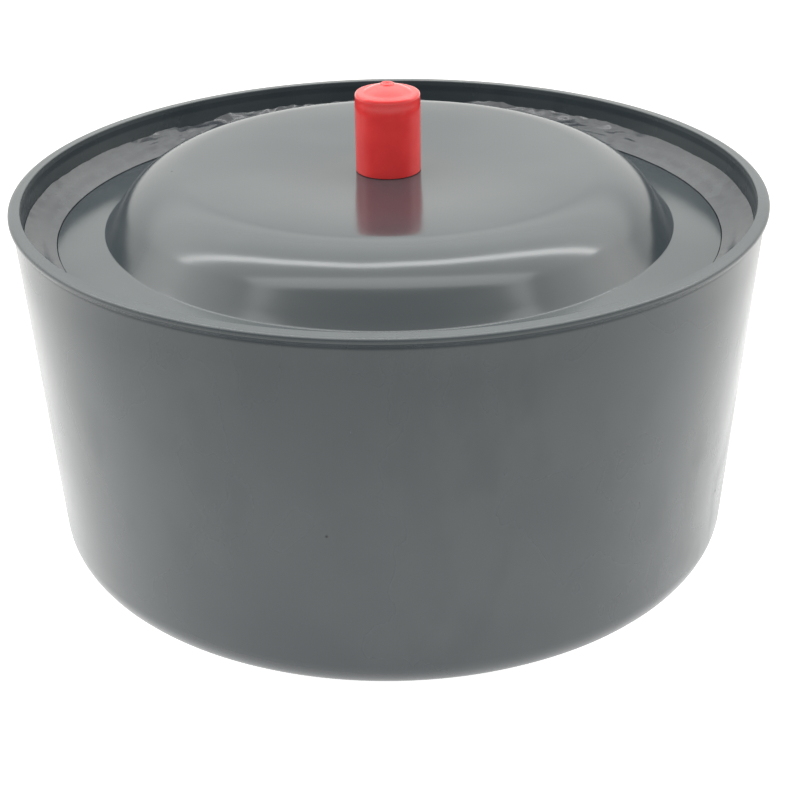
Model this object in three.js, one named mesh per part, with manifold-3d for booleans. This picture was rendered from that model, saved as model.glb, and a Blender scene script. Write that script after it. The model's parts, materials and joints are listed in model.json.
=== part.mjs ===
// Rock tumbler barrel: a tapered moulded bowl for a tumbler with an inclined drive axis. A domed lid sits
// inside the mouth on a bonded seat ring, and a knob on a central tie rod pulls it down.
// Millimetres, +Z up along the barrel's axis, origin at the centre of the face that the barrel stands on.

import * as THREE from 'three';
import { mergeVertices } from 'three/addons/utils/BufferGeometryUtils.js';
import Module from 'manifold-3d';

const wasm = await Module();
wasm.setup();

// Driving dimensions
const gap = 0.3; // air left between neighbouring pieces
const barrel = { height: 100, rimRadius: 100, footRadius: 93.9, footFillet: 9.8, wall: 2.5 };
const recess = { radius: 46, depth: 16, draft: 1 };
const liner = { thickness: 3, top: 80.5, seam: 1.5, ribs: 6, ribWidth: 16, ribHeight: 6, ribInset: 3 };
const seat = { innerRadius: 80, bottom: 81, ledge: 84.8, shoulder: 88, rebateRadius: 89.4 };
const bead = { outerTop: 93.6, innerTop: 89.4 };
const lid = {
  radius: 89,
  edgeTop: 89.2,
  thickness: 2.5,
  creaseRadius: 76.4,
  creaseTop: 90.4,
  shoulderRadius: 20.9,
  shoulderSweep: THREE.MathUtils.degToRad(54),
  flatRadius: 54.5,
  flatTop: 105.6,
  knobSeatRadius: 10,
  knobSeatTop: 103.6,
};
const gasket = { innerRadius: 82, outerRadius: 88.4 };
const rod = { radius: 3, top: 118, chamfer: 0.6 };
const rodHole = rod.radius + gap;
const lidHole = 3.5;
const knob = { radius: 8.75, shoulderTop: 125, edgeRound: 1.1, recessRadius: 6.6, skirtChamfer: 0.4 };
const knobCap = { radius: 6.3, rise: 2, nubRadius: 1.8, nubTop: 127.3 };
const insert = { radius: 4.75, length: 11 };
const studSeal = { radius: 6.2, thickness: 1.5 };
const washer = { radius: 6, thickness: 1.6 };
const rodSeal = { radius: 7, thickness: 1.5 };
const rodNut = { acrossFlats: 10, height: 5 };
const clampPlate = { radius: 38, thickness: 3 };
const hub = { flangeRadius: 38, flangeThickness: 5, bossRadius: 15, bossBottom: 2 };
const hubBore = { radius: 6, depth: 8 };
const hubScrew = { count: 4, circle: 30, radius: 2.5, headRadius: 4.75, headHeight: 2.8, tail: 1.5 };
const hubWasher = { radius: 5, thickness: 1 };
const hubNut = { acrossFlats: 8, height: 4 };
const setScrew = { count: 2, radius: 2.5, inset: 0.2, height: 6 };
const smooth = { large: 48, medium: 32, small: 20, tiny: 12 };

// Heights that follow from the stack of parts on the axis
const floorTop = recess.depth + barrel.wall;
const linerFloorTop = floorTop + gap + liner.thickness;
const clampPlateBottom = linerFloorTop + gap;
const clampPlateTop = clampPlateBottom + clampPlate.thickness;
const rodSealBottom = clampPlateTop + gap;
const rodWasherBottom = rodSealBottom + rodSeal.thickness + gap;
const rodNutBottom = rodWasherBottom + washer.thickness + gap;
const hubTop = recess.depth - gap;
const hubFlangeBottom = hubTop - hub.flangeThickness;
const hubBoreTop = hub.bossBottom + hubBore.depth;
const hubWasherTop = hubFlangeBottom - gap;
const hubNutTop = hubWasherTop - hubWasher.thickness - gap;
const studSealBottom = lid.knobSeatTop + gap;
const knobWasherBottom = studSealBottom + studSeal.thickness + gap;
const insertBottom = knobWasherBottom + washer.thickness + gap;
const skirtBottom = lid.knobSeatTop + 0.4;

// Finishes
const blackPlastic = new THREE.MeshStandardMaterial({ color: 0x3a3e42, roughness: 0.3, metalness: 0 });
const linerRubber = new THREE.MeshStandardMaterial({ color: 0x232323, roughness: 0.8, metalness: 0 });
const sealRubber = new THREE.MeshStandardMaterial({ color: 0x2b2b2b, roughness: 0.7, metalness: 0 });
const sealant = new THREE.MeshStandardMaterial({ color: 0x2e3034, roughness: 0.12, metalness: 0 });
const redPlastic = new THREE.MeshStandardMaterial({ color: 0xc02a2c, roughness: 0.3, metalness: 0 });
const steel = new THREE.MeshStandardMaterial({ color: 0xb4b6b8, roughness: 0.35, metalness: 1 });
const brass = new THREE.MeshStandardMaterial({ color: 0xc8a24a, roughness: 0.35, metalness: 1 });
const castAluminium = new THREE.MeshStandardMaterial({ color: 0x9da0a3, roughness: 0.5, metalness: 1 });

const assembly = new THREE.Group();

function addPart(name, geometry, material, parent = assembly) {
  const mesh = new THREE.Mesh(geometry, material);
  mesh.name = name;
  parent.add(mesh);
  return mesh;
}

// Profiles are lists of [radius, height] points, anticlockwise with the radius to the right.
function lathe(profile, segments) {
  const points = profile.map(([radius, height]) => new THREE.Vector2(radius, height));
  return new THREE.LatheGeometry(points, segments).rotateX(Math.PI / 2);
}

function closedLathe(profile, segments) {
  return lathe([...profile, profile[0]], segments);
}

function ring(innerRadius, outerRadius, bottom, top, segments) {
  const profile = [[innerRadius, bottom], [outerRadius, bottom], [outerRadius, top], [innerRadius, top]];
  return closedLathe(profile, segments);
}

function disc(radius, bottom, top, segments) {
  const geometry = new THREE.CylinderGeometry(radius, radius, top - bottom, segments);
  return geometry.rotateX(Math.PI / 2).translate(0, 0, (bottom + top) / 2);
}

// Points of an arc about a centre; angles run from the radial direction towards +Z.
function arc(centreRadius, centreHeight, radius, from, to, steps) {
  return Array.from({ length: steps + 1 }, (_, i) => {
    const angle = from + ((to - from) * i) / steps;
    return [centreRadius + radius * Math.cos(angle), centreHeight + radius * Math.sin(angle)];
  });
}

// Parallel copy of an open profile, moved to the left of its direction with mitred corners.
function offset(profile, distance) {
  const normals = profile.slice(1).map(([r, z], i) => {
    const [r0, z0] = profile[i];
    const length = Math.hypot(r - r0, z - z0);
    return [-(z - z0) / length, (r - r0) / length];
  });
  return profile.map(([r, z], i) => {
    const before = normals[Math.max(i - 1, 0)];
    const after = normals[Math.min(i, normals.length - 1)];
    const share = distance / (1 + before[0] * after[0] + before[1] * after[1]);
    return [r + share * (before[0] + after[0]), z + share * (before[1] + after[1])];
  });
}

function toSolid(geometry) {
  const bare = geometry.clone();
  bare.deleteAttribute('normal');
  bare.deleteAttribute('uv');
  const merged = mergeVertices(bare, 1e-4);
  const corners = Array.from(merged.index.array);
  const kept = [];
  for (let i = 0; i < corners.length; i += 3) {
    const [a, b, c] = corners.slice(i, i + 3);
    if (a !== b && b !== c && c !== a) kept.push(a, b, c);
  }
  const vertProperties = new Float32Array(merged.attributes.position.array);
  return new wasm.Manifold(new wasm.Mesh({ numProp: 3, vertProperties, triVerts: new Uint32Array(kept) }));
}

function toGeometry(solid) {
  const mesh = solid.getMesh();
  const geometry = new THREE.BufferGeometry();
  geometry.setAttribute('position', new THREE.BufferAttribute(mesh.vertProperties, 3));
  geometry.setIndex(new THREE.BufferAttribute(mesh.triVerts, 1));
  geometry.computeVertexNormals();
  return geometry;
}

function cut(geometry, cutters) {
  return toGeometry(cutters.reduce((solid, cutter) => solid.subtract(toSolid(cutter)), toSolid(geometry)));
}

// Angles of the hub screws, between the X and Y axes
function screwPlaces() {
  return Array.from({ length: hubScrew.count }, (_, i) => {
    const angle = ((i + 0.5) * 2 * Math.PI) / hubScrew.count;
    return new THREE.Vector3(hubScrew.circle * Math.cos(angle), hubScrew.circle * Math.sin(angle), 0);
  });
}

// Cutters for the rod's hole and the screw holes through a floor-like piece
function floorHoles(bottom, top) {
  const margin = 2;
  const rodCutter = disc(rodHole, bottom - margin, top + margin, smooth.small);
  const screwCutters = screwPlaces().map(({ x, y }) =>
    disc(hubScrew.radius + gap, bottom - margin, top + margin, smooth.tiny).translate(x, y, 0));
  return [rodCutter, ...screwCutters];
}

const taper = Math.atan2(barrel.rimRadius - barrel.footRadius, barrel.height);

// Radius of the shell's inner wall at a height
function boreAt(height) {
  const slope = (barrel.rimRadius - barrel.footRadius) / barrel.height;
  return barrel.footRadius + slope * height - barrel.wall / Math.cos(taper);
}

// The shell's outer face from the axis out over the recess, the foot and the fillet to a height on the wall
function outerProfile(wallTop) {
  const lean = Math.PI / 2 + taper;
  const tangent = barrel.footFillet / Math.tan(lean / 2);
  const filletCentre = barrel.footRadius - tangent;
  const fillet = arc(filletCentre, barrel.footFillet, barrel.footFillet, -Math.PI / 2, -taper, 4);
  const wallRadius = barrel.footRadius + Math.tan(taper) * wallTop;
  return [
    [0, recess.depth],
    [recess.radius - recess.draft, recess.depth],
    [recess.radius, 0],
    ...fillet,
    [wallRadius, wallTop],
  ];
}

function makeShell() {
  const lipRadius = barrel.wall / 2;
  const outer = outerProfile(barrel.height - lipRadius);
  const inner = offset(outer, barrel.wall);
  inner[0][0] = 0;
  const wallEnd = outer[outer.length - 1];
  const lip = arc(wallEnd[0] - lipRadius, wallEnd[1], lipRadius, 0, Math.PI, 4).slice(1, -1);
  const bowl = lathe([...outer, ...lip, ...inner.reverse()], smooth.large);
  return cut(bowl, floorHoles(recess.depth, floorTop));
}

// One lifting rib: a round-topped bar that lies along the tapered liner wall
function makeRib(angle) {
  const half = liner.ribWidth / 2;
  const rootDepth = liner.thickness / 2;
  const crest = liner.ribHeight + rootDepth;
  const flank = half * 0.6;
  const section = new THREE.Shape();
  section.moveTo(-half, 0);
  section.lineTo(half, 0);
  section.bezierCurveTo(flank, rootDepth, flank, crest, 0, crest);
  section.bezierCurveTo(-flank, crest, -flank, rootDepth, -half, 0);
  const bottom = barrel.footFillet + liner.ribInset;
  const length = liner.top - bottom - liner.ribInset;
  const bar = new THREE.ExtrudeGeometry(section, { depth: length, bevelEnabled: false, curveSegments: 4 });
  bar.rotateX(-taper);
  bar.translate(0, -(boreAt(bottom) - gap - rootDepth), bottom);
  return bar.rotateZ(angle);
}

function makeLinerWall() {
  const foot = outerProfile(liner.top).slice(-2);
  foot[0] = [foot[0][0] + liner.seam * Math.tan(taper), foot[0][1] + liner.seam];
  const back = offset(foot, barrel.wall + gap);
  const face = offset(foot, barrel.wall + gap + liner.thickness);
  let solid = toSolid(closedLathe([...back, ...face.reverse()], smooth.large));
  for (let i = 0; i < liner.ribs; i += 1) {
    solid = solid.add(toSolid(makeRib((i * 2 * Math.PI) / liner.ribs)));
  }
  return toGeometry(solid);
}

function makeLinerFloor() {
  const path = outerProfile(liner.top).slice(0, -1);
  const back = offset(path, barrel.wall + gap);
  const face = offset(path, barrel.wall + gap + liner.thickness);
  back[0][0] = 0;
  face[0][0] = 0;
  const floor = lathe([...back, ...face.reverse()], smooth.large);
  return cut(floor, floorHoles(floorTop, linerFloorTop));
}

function makeSeatRing() {
  return closedLathe([
    [seat.innerRadius, seat.bottom],
    [boreAt(seat.bottom) - gap, seat.bottom],
    [boreAt(seat.shoulder) - gap, seat.shoulder],
    [seat.rebateRadius, seat.shoulder],
    [seat.rebateRadius, seat.ledge],
    [seat.innerRadius, seat.ledge],
  ], smooth.large);
}

function makeSealantBead() {
  const bottom = seat.shoulder + gap;
  const outerEdge = boreAt(bead.outerTop) - gap;
  const hollow = 0.35;
  const middle = [(outerEdge + seat.rebateRadius) / 2, (bead.outerTop + bead.innerTop) / 2 - hollow];
  return closedLathe([
    [seat.rebateRadius, bottom],
    [boreAt(bottom) - gap, bottom],
    [outerEdge, bead.outerTop],
    middle,
    [seat.rebateRadius, bead.innerTop],
  ], smooth.large);
}

// The lid's upper face from its edge over the flange, the dome's wall and shoulder to the knob's seat
function lidTopProfile() {
  const shoulder = arc(
    lid.flatRadius,
    lid.flatTop - lid.shoulderRadius,
    lid.shoulderRadius,
    Math.PI / 2 - lid.shoulderSweep,
    Math.PI / 2,
    5,
  );
  const dishSteps = 3;
  const dish = Array.from({ length: dishSteps }, (_, i) => {
    const share = (i + 1) / dishSteps;
    const radius = lid.flatRadius + (lid.knobSeatRadius - lid.flatRadius) * share;
    const fall = ((lid.flatTop - lid.knobSeatTop) * (1 - Math.cos(Math.PI * share))) / 2;
    return [radius, lid.flatTop - fall];
  });
  return [
    [lid.radius, lid.edgeTop],
    [lid.creaseRadius, lid.creaseTop],
    ...shoulder,
    ...dish,
    [lidHole, lid.knobSeatTop],
  ];
}

function makeLid() {
  const top = lidTopProfile();
  const underside = offset(top, lid.thickness);
  underside[0] = [lid.radius, lid.edgeTop - lid.thickness];
  return closedLathe([...top, ...underside.reverse()], smooth.large);
}

// Height of the flange's underside at a radius
function flangeUnderside(radius) {
  const slope = (lid.creaseTop - lid.edgeTop) / (lid.radius - lid.creaseRadius);
  return lid.edgeTop - lid.thickness + (lid.radius - radius) * slope;
}

function makeLidGasket() {
  const bottom = seat.ledge + gap;
  return closedLathe([
    [gasket.innerRadius, bottom],
    [gasket.outerRadius, bottom],
    [gasket.outerRadius, flangeUnderside(gasket.outerRadius) - gap],
    [gasket.innerRadius, flangeUnderside(gasket.innerRadius) - gap],
  ], smooth.large);
}

// The low round cap on the knob's end, from its rim to the moulded nub in the middle
function knobCapProfile() {
  const sphereRadius = (knobCap.radius ** 2 + knobCap.rise ** 2) / (2 * knobCap.rise);
  const centreHeight = knob.shoulderTop + knobCap.rise - sphereRadius;
  const from = Math.acos(knobCap.radius / sphereRadius);
  const to = Math.acos(knobCap.nubRadius / sphereRadius);
  const dome = arc(0, centreHeight, sphereRadius, from, to, 3);
  return [...dome, [knobCap.nubRadius, knobCap.nubTop], [0, knobCap.nubTop]];
}

function makeKnob() {
  const boreTop = insertBottom + insert.length + gap;
  const { edgeRound } = knob;
  const edge = arc(knob.radius - edgeRound, knob.shoulderTop - edgeRound, edgeRound, 0, Math.PI / 2, 3);
  return lathe([
    [0, boreTop],
    [insert.radius + gap, boreTop],
    [insert.radius + gap, insertBottom],
    [knob.recessRadius, insertBottom],
    [knob.recessRadius, skirtBottom],
    [knob.radius - knob.skirtChamfer, skirtBottom],
    [knob.radius, skirtBottom + knob.skirtChamfer],
    ...edge,
    ...knobCapProfile(),
  ], smooth.medium);
}

function makeTieRod() {
  const bottom = hubBoreTop + 2 * gap;
  const tipRadius = rod.radius - rod.chamfer;
  return lathe([
    [0, bottom],
    [tipRadius, bottom],
    [rod.radius, bottom + rod.chamfer],
    [rod.radius, rod.top - rod.chamfer],
    [tipRadius, rod.top],
    [0, rod.top],
  ], smooth.small);
}

function makeHexNut(acrossFlats, holeRadius, bottom, height) {
  const corner = acrossFlats / Math.sqrt(3);
  const outline = new THREE.Shape();
  for (let i = 0; i < 6; i += 1) {
    const angle = (i * Math.PI) / 3;
    const point = new THREE.Vector2(corner * Math.cos(angle), corner * Math.sin(angle));
    if (i === 0) outline.moveTo(point.x, point.y);
    else outline.lineTo(point.x, point.y);
  }
  outline.closePath();
  outline.holes.push(new THREE.Path().absarc(0, 0, holeRadius, 0, 2 * Math.PI, true));
  const options = { depth: height, bevelEnabled: false, curveSegments: smooth.tiny };
  return new THREE.ExtrudeGeometry(outline, options).translate(0, 0, bottom);
}

function makeClampPlate() {
  const plate = disc(clampPlate.radius, clampPlateBottom, clampPlateTop, smooth.large);
  return cut(plate, floorHoles(clampPlateBottom, clampPlateTop));
}

function setScrewAngle(index) {
  return (index * Math.PI) / setScrew.count;
}

function makeDriveHub() {
  const body = lathe([
    [0, hub.bossBottom],
    [hub.bossRadius, hub.bossBottom],
    [hub.bossRadius, hubFlangeBottom],
    [hub.flangeRadius, hubFlangeBottom],
    [hub.flangeRadius, hubTop],
    [0, hubTop],
  ], smooth.large);
  const shaftBore = disc(hubBore.radius, 0, hubBoreTop, smooth.small);
  const setScrewHoles = Array.from({ length: setScrew.count }, (_, i) => {
    const radius = setScrew.radius + gap;
    const length = hub.bossRadius + gap;
    const hole = new THREE.CylinderGeometry(radius, radius, length, smooth.tiny);
    return hole.translate(0, length / 2, 0).rotateZ(setScrewAngle(i)).translate(0, 0, setScrew.height);
  });
  return cut(body, [...floorHoles(hub.bossBottom, hubTop), shaftBore, ...setScrewHoles]);
}

function makeHubScrew() {
  const tail = hubNutTop - hubNut.height - hubScrew.tail;
  const headBottom = clampPlateTop + gap;
  return lathe([
    [0, tail],
    [hubScrew.radius, tail],
    [hubScrew.radius, headBottom],
    [hubScrew.headRadius, headBottom],
    [hubScrew.headRadius, headBottom + hubScrew.headHeight * 0.3],
    [hubScrew.headRadius * 0.8, headBottom + hubScrew.headHeight * 0.8],
    [hubScrew.headRadius * 0.45, headBottom + hubScrew.headHeight],
    [0, headBottom + hubScrew.headHeight],
  ], smooth.tiny);
}

function makeSetScrew() {
  const inner = hubBore.radius + setScrew.inset;
  const outer = hub.bossRadius - setScrew.inset;
  const screw = new THREE.CylinderGeometry(setScrew.radius, setScrew.radius, outer - inner, smooth.tiny);
  return screw.translate(0, (inner + outer) / 2, 0);
}

// Barrel
addPart('barrel_shell', makeShell(), blackPlastic);
addPart('liner_floor', makeLinerFloor(), linerRubber);
addPart('liner_wall', makeLinerWall(), linerRubber);
addPart('seat_ring', makeSeatRing(), blackPlastic);
addPart('sealant_bead', makeSealantBead(), sealant);

// Lid and its knob
addPart('lid', makeLid(), blackPlastic);
addPart('lid_gasket', makeLidGasket(), sealRubber);
const sealTop = studSealBottom + studSeal.thickness;
addPart('stud_seal', ring(rodHole, studSeal.radius, studSealBottom, sealTop, smooth.small), sealRubber);
const knobWasherTop = knobWasherBottom + washer.thickness;
addPart('knob_washer', ring(rodHole, washer.radius, knobWasherBottom, knobWasherTop, smooth.small), steel);
const insertTop = insertBottom + insert.length;
addPart('knob_insert', ring(rodHole, insert.radius, insertBottom + gap, insertTop, smooth.small), brass);
addPart('knob', makeKnob(), redPlastic);

// Tie rod and its fastening to the floor
addPart('tie_rod', makeTieRod(), steel);
const rodSealTop = rodSealBottom + rodSeal.thickness;
addPart('rod_seal', ring(rodHole, rodSeal.radius, rodSealBottom, rodSealTop, smooth.small), sealRubber);
const rodWasherTop = rodWasherBottom + washer.thickness;
addPart('rod_washer', ring(rodHole, washer.radius, rodWasherBottom, rodWasherTop, smooth.small), steel);
addPart('rod_nut', makeHexNut(rodNut.acrossFlats, rodHole, rodNutBottom, rodNut.height), steel);
addPart('clamp_plate', makeClampPlate(), steel);

// Drive hub under the floor
addPart('drive_hub', makeDriveHub(), castAluminium);
screwPlaces().forEach(({ x, y }, i) => {
  const number = i + 1;
  const hole = hubScrew.radius + gap;
  const washerBottom = hubWasherTop - hubWasher.thickness;
  const washerShape = ring(hole, hubWasher.radius, washerBottom, hubWasherTop, smooth.tiny);
  const nutBottom = hubNutTop - hubNut.height;
  const place = new THREE.Group();
  place.position.set(x, y, 0);
  assembly.add(place);
  addPart(`hub_screw_${number}`, makeHubScrew(), steel, place);
  addPart(`hub_washer_${number}`, washerShape, steel, place);
  addPart(`hub_nut_${number}`, makeHexNut(hubNut.acrossFlats, hole, nutBottom, hubNut.height), steel, place);
});
for (let i = 0; i < setScrew.count; i += 1) {
  const screw = addPart(`set_screw_${i + 1}`, makeSetScrew(), steel);
  screw.rotation.z = setScrewAngle(i);
  screw.position.z = setScrew.height;
}

export default assembly;
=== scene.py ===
# Rock tumbler barrel: the looks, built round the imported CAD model. Metres, the CAD model's own frame.
import functools
import json
import math

import bpy
import numpy as np
from mathutils import Matrix, Vector, noise

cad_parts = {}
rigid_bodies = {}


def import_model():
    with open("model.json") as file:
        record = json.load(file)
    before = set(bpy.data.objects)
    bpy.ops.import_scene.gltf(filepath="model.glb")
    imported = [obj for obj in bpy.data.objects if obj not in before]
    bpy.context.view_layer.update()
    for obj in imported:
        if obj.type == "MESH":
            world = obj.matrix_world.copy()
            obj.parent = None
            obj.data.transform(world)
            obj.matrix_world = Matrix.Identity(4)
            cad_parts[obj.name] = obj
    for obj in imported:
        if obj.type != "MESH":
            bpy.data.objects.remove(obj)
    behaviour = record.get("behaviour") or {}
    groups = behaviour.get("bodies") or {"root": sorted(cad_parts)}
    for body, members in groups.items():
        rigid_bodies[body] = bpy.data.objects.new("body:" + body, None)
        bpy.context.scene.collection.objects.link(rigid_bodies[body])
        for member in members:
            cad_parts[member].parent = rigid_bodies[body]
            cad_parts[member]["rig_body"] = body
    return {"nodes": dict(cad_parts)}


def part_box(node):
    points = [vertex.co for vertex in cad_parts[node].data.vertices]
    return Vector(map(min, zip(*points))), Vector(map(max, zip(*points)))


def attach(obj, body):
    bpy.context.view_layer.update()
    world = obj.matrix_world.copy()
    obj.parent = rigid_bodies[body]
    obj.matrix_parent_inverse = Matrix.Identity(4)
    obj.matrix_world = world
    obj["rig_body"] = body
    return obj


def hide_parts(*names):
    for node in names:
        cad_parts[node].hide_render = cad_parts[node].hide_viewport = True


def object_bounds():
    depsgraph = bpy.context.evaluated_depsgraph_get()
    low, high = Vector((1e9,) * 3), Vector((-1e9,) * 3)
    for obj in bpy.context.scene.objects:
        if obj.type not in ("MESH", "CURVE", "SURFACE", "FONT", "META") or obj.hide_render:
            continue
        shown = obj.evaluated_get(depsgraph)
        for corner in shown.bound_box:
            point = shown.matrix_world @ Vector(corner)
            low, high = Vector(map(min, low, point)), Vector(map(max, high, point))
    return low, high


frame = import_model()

CAD_BOX = [list(corner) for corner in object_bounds()]
MM = 0.001

# Driving sizes in millimetres, where the frame doesn't give them
WALL = 2.5
GAP = 0.3
FOOT_RADIUS = 93.9
FOOT_FILLET = 9.8
RECESS_RADIUS = 46.0
RECESS_DEPTH = 16.0
RECESS_DRAFT = 1.0
LIP_OVERHANG = 0.8
LIP_SHADE_TOP = 98.6
LIP_HEIGHT = 3.2
LIP_OUTER_DROP = 1.8
LIP_OUTER_REACH = 0.9
LIP_INNER_EASE = 0.5
REBATE = 89.14
BEAD_WALL_TOP = 93.6
BEAD_INNER_TOP = 89.4
LEDGE_EDGE_TOP = 89.2
CREASE_RADIUS = 76.4
CREASE_TOP = 90.4
SHOULDER_RADIUS = 20.9
SHOULDER_SWEEP = math.radians(54)
DOME_FLAT_RADIUS = 54.5
DISH_STEPS = 12
KNOB_SEAT_RADIUS = 10.0
KNOB_SEAT_TOP = 103.6
LINER = 3.0
LINER_RIBS = 6
RIB_HEIGHT = 6.0
ROD_HOLE = 3.3
LID_HOLE = 3.5
KNOB_CAP_RADIUS = 6.3
KNOB_SHOULDER_TOP = 125.0
KNOB_RECESS_RADIUS = 6.6
SEAT_RING_INNER = 80.0
GASKET_INNER = 82.0
GASKET_GROOVE = 1.2
KNOB_CAP_RISE = 2.0
KNOB_CLEARANCE = 0.08
NUB_FOOT_RADIUS = 1.95
HUB_BOSS = 15.0
HUB_BORE = 6.0
HUB_BORE_DEPTH = 8.0
SCREW_HOLE = 2.8
SCREW_SHANK = 2.5
ROD_PITCH = 1.0
SCREW_PITCH = 0.8
THREAD_DEPTH_SHARE = 0.55
BEAD_GAP = 0.05
BEAD_ROWS = 26
BEAD_SEGMENTS = 900
RIB_HALF_WIDTH = 7.6
RIB_RUNOUT = 5.0
THROUGH = 2.0

# Mesh fineness: faces round each kind of piece, and the crease angle that stays sharp
SHELL_SEGMENTS = 256
FINE_SEGMENTS = 288
FLOOR_SEGMENTS = 192
KNOB_SEGMENTS = 160
PLATE_SEGMENTS = 144
NUT_SEGMENTS = 96
WASHER_SEGMENTS = 72
THREAD_SEGMENTS = 48
HOLE_SEGMENTS = 40
CREASE_ANGLE = 35


@functools.lru_cache(maxsize=None)
def box_mm(node):
    """Both corners of a CAD node in millimetres."""
    lo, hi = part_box(node)
    return lo / MM, hi / MM


def low(node):
    return box_mm(node)[0]


def high(node):
    return box_mm(node)[1]


def centre(node):
    """Middle of a CAD node in millimetres."""
    return (low(node) + high(node)) / 2


# Camera first: rim centre seen from 450 mm away
CAMERA_DISTANCE = 0.45
CAMERA_ELEVATION = math.radians(19.363)
CAMERA_YAW = math.radians(-0.273)
CAMERA_PITCH = math.radians(-7.512)
CAMERA_ROLL = math.radians(0.862)
CAMERA_LENS = 74.52


def add_camera():
    rim = Vector((0, 0, high("barrel_shell").z * MM))
    away = Vector((0, -math.cos(CAMERA_ELEVATION), math.sin(CAMERA_ELEVATION)))
    right = (-away).cross(Vector((0, 0, 1))).normalized()
    up = right.cross(-away)
    aim = Matrix((right, up, away)).transposed()
    turn = Matrix.Rotation(CAMERA_YAW, 3, "Y") @ Matrix.Rotation(CAMERA_PITCH, 3, "X")
    turn = turn @ Matrix.Rotation(-CAMERA_ROLL, 3, "Z")
    data = bpy.data.cameras.new("camera")
    data.lens = CAMERA_LENS
    data.sensor_width = 36
    data.clip_start = 0.01
    camera = bpy.data.objects.new("camera", data)
    camera.matrix_world = Matrix.Translation(rim + away * CAMERA_DISTANCE) @ (aim @ turn).to_4x4()
    bpy.context.scene.collection.objects.link(camera)
    bpy.context.scene.camera = camera


# Outlines: lists of (radius, height) in millimetres, anticlockwise with the radius to the right


def curve(start, corner, end, steps):
    """Quadratic curve that leaves start towards the corner and arrives at end."""
    a, b, c = Vector(start), Vector(corner), Vector(end)
    shares = [s / steps for s in range(steps + 1)]
    return [tuple((1 - t) ** 2 * a + 2 * t * (1 - t) * b + t * t * c) for t in shares]


def rounded(corners, closed=True, steps=5):
    """Outline through (radius, height, ease) corners; each corner is eased over that length."""
    points = []
    last = len(corners) - 1
    for i, (r, z, ease) in enumerate(corners):
        here = Vector((r, z))
        if ease == 0 or (not closed and i in (0, last)):
            points.append(here)
            continue
        arms = []
        for neighbour in (corners[i - 1], corners[(i + 1) % len(corners)]):
            arm = Vector(neighbour[:2]) - here
            arms.append(here + arm.normalized() * min(ease, arm.length * 0.45))
        points += curve(arms[0], here, arms[1], steps)
    return [tuple(p) for p in points]


def arc(r, z, radius, start, end, steps):
    angles = [start + (end - start) * i / steps for i in range(steps + 1)]
    return [(r + radius * math.cos(a), z + radius * math.sin(a)) for a in angles]


def offset(path, distance):
    """Parallel copy of an open path, to the left of its direction."""
    p = np.array(path, float)
    d = np.diff(p, axis=0)
    n = np.stack([-d[:, 1], d[:, 0]], 1) / np.linalg.norm(d, axis=1)[:, None]
    before = np.vstack([n[:1], n])
    after = np.vstack([n, n[-1:]])
    share = distance / (1 + (before * after).sum(1))
    return [tuple(q) for q in p + share[:, None] * (before + after)]


def finer(path, closed, step):
    """The same outline with no stretch longer than step."""
    result = []
    ends = path + [path[0]] if closed else path
    for a, b in zip(ends, ends[1:]):
        parts = max(1, math.ceil(math.dist(a, b) / step))
        start, along = np.array(a), np.array(b) - np.array(a)
        result += [tuple(start + along * k / parts) for k in range(parts)]
    return result if closed else result + [path[-1]]


def new_object(name, verts, faces, crease):
    mesh = bpy.data.meshes.new(name)
    mesh.from_pydata([tuple(v) for v in verts], [], faces)
    mesh.validate()
    mesh.polygons.foreach_set("use_smooth", [True] * len(mesh.polygons))
    mesh.set_sharp_from_angle(angle=math.radians(crease))
    piece = bpy.data.objects.new(name, mesh)
    bpy.context.scene.collection.objects.link(piece)
    return piece


def lathe(name, outline, closed=True, segments=FLOOR_SEGMENTS, shape=None, at=(0, 0), crease=CREASE_ANGLE):
    """Turns an outline about Z, at a place in millimetres.

    shape(angle, radius, height) gives each point's own radius and height.
    """
    verts = []
    rows = []
    for r, z in outline:
        if r < 1e-6:
            rows.append([len(verts)] * segments)
            verts.append((at[0] * MM, at[1] * MM, z * MM))
            continue
        rows.append(list(range(len(verts), len(verts) + segments)))
        for k in range(segments):
            angle = 2 * math.pi * k / segments
            radius, height = shape(angle, r, z) if shape else (r, z)
            x = at[0] + radius * math.cos(angle)
            y = at[1] + radius * math.sin(angle)
            verts.append((x * MM, y * MM, height * MM))
    pairs = list(zip(rows, rows[1:]))
    if closed:
        pairs.append((rows[-1], rows[0]))
    faces = []
    for lower, upper in pairs:
        for k in range(segments):
            n = (k + 1) % segments
            corners = [lower[k], lower[n], upper[n], upper[k]]
            face = list(dict.fromkeys(corners))
            if len(face) > 2:
                faces.append(face)
    return new_object(name, verts, faces, crease)


def subtract(piece, cutter):
    """Cuts one mesh out of another and removes the cutter."""
    cut = piece.modifiers.new("hole", "BOOLEAN")
    cut.object = cutter
    cut.solver = "EXACT"
    evaluated = piece.evaluated_get(bpy.context.evaluated_depsgraph_get())
    mesh = bpy.data.meshes.new_from_object(evaluated)
    piece.modifiers.clear()
    piece.data = mesh
    mesh.set_sharp_from_angle(angle=math.radians(CREASE_ANGLE))
    bpy.data.objects.remove(cutter)


def drill(piece, places, radius, bottom, top):
    """Cuts round holes through a piece, at places in millimetres."""
    for x, y in places:
        hole = [(0, bottom), (radius, bottom), (radius, top), (0, top)]
        subtract(piece, lathe("cutter", hole, False, HOLE_SEGMENTS, at=(x, y)))


def finish_piece(piece, material, slot, *nodes):
    """Gives a piece its material and its body, and hides the CAD nodes that it stands for."""
    piece.data.materials.clear()
    piece.data.materials.append(material)
    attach(piece, frame["nodes"][nodes[0]]["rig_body"])
    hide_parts(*nodes)
    return piece


SCREW_PLACES = [tuple(centre(f"hub_screw_{i}").xy) for i in range(1, 5)]


# Materials


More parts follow.
